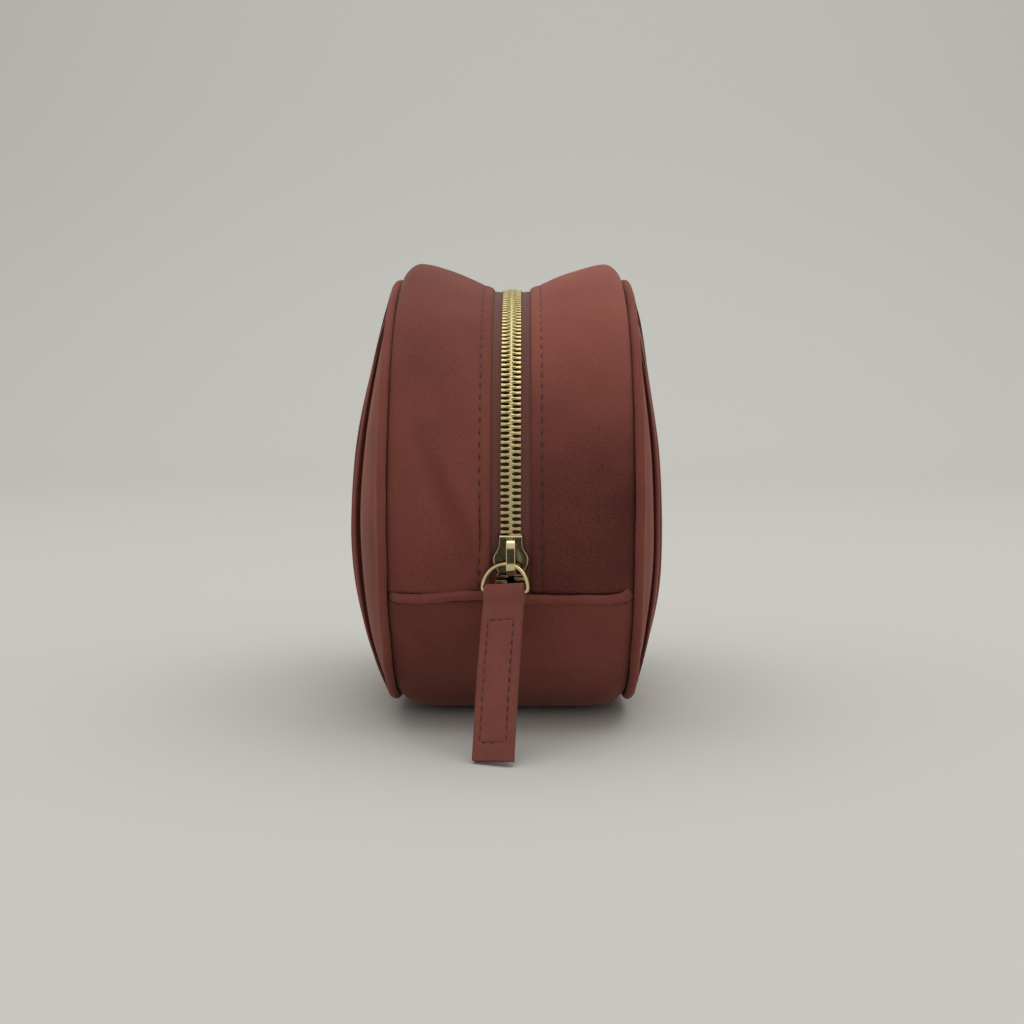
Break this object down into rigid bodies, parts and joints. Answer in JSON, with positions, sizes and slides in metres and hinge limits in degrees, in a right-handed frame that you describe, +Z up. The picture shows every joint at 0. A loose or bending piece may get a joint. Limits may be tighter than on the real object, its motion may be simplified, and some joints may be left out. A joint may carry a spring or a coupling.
{
  "type": "makeup bag",
  "caption": "Round padded makeup bag with pleated domed faces, piped edges, a wide gusset zipped over the top and a fabric tab on a D-ring puller.",
  "frame": {"origin": "on the floor plane, at the middle of the flat base of the bag", "axes": "+X through the bag's thickness, to the right seen from the slider's end; +Y along its length, away from the slider's end; +Z up"},
  "size_m": [0.1056, 0.1791, 0.1508],
  "materials": {
    "velvet": "brushed short-pile velvet, dusty rose brown",
    "piping": "bias-cut velvet over a cord",
    "lining": "plain woven lining",
    "foam": "soft sheet foam, hidden",
    "zip_tape": "woven polyester tape",
    "teeth": "pale gold, polished on the crowns",
    "slider": "pale gold plating, polished",
    "ring": "pale gold plating, polished"
  },
  "bodies": {
    "bag": {"left_face": "velvet", "right_face": "velvet", "left_zip_strip": "velvet", "right_zip_strip": "velvet", "base_strip": "velvet", "front_seam_ridge": "velvet", "rear_seam_ridge": "velvet", "left_piping": "piping", "right_piping": "piping", "left_face_lining": "lining", "right_face_lining": "lining", "left_zip_strip_lining": "lining", "right_zip_strip_lining": "lining", "base_strip_lining": "lining", "left_face_padding": "foam", "right_face_padding": "foam", "base_strip_padding": "foam", "left_zip_tape": "zip_tape", "right_zip_tape": "zip_tape", "left_teeth_row": "teeth", "right_teeth_row": "teeth"},
    "slider": {"slider_body": "slider", "slider_bridge": "slider"},
    "ring": {"d_ring": "ring"},
    "tab": {"pull_tab": "velvet"}
  },
  "joints": [
    {"name": "slider_travel", "type": "hinge", "parent": "bag", "child": "slider", "pos_m": [0, 0, 0.067], "axis": [-1, 0, 0], "range_deg": [0, 190]},
    {"name": "ring_swing", "type": "hinge", "parent": "slider", "child": "ring", "pos_m": [0, -0.07732, 0.05406], "axis": [-1, 0, 0], "range_deg": [-5, 115]},
    {"name": "tab_swing", "type": "hinge", "parent": "ring", "child": "tab", "pos_m": [0, -0.0789, 0.04684], "axis": [-1, 0, 0], "range_deg": [-35, 45]}
  ]
}
